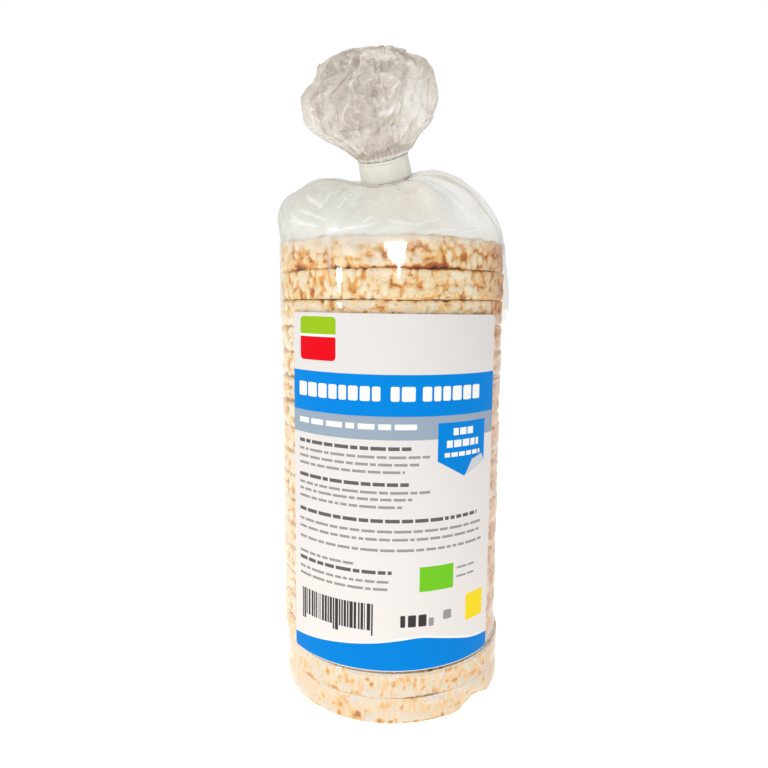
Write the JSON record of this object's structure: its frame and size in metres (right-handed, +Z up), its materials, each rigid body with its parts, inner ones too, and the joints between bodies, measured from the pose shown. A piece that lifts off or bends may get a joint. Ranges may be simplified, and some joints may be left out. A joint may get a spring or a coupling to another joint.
{
  "type": "pack of puffed rice cakes",
  "caption": "Tall sealed pack: a stack of round puffed rice cakes in a clear film bag, tied with tape under a crumpled tuft, with a paper label round the front.",
  "frame": {"origin": "middle of the pack's foot, on the surface it stands on", "axes": "+Z up along the stack, the label's middle faces -Y, +X to the right seen from the front"},
  "size_m": [0.0927, 0.0916, 0.2492],
  "materials": {
    "film_and_cakes": "clear glossy film over cream puffed rice with light brown bran",
    "tape": "cream adhesive tape, satin",
    "label_paper": "coated white paper, satin, with blue and grey fields of colour"
  },
  "bodies": {
    "root": {"bag": "film_and_cakes", "neck_tie": "tape", "label": "label_paper"}
  },
  "joints": []
}
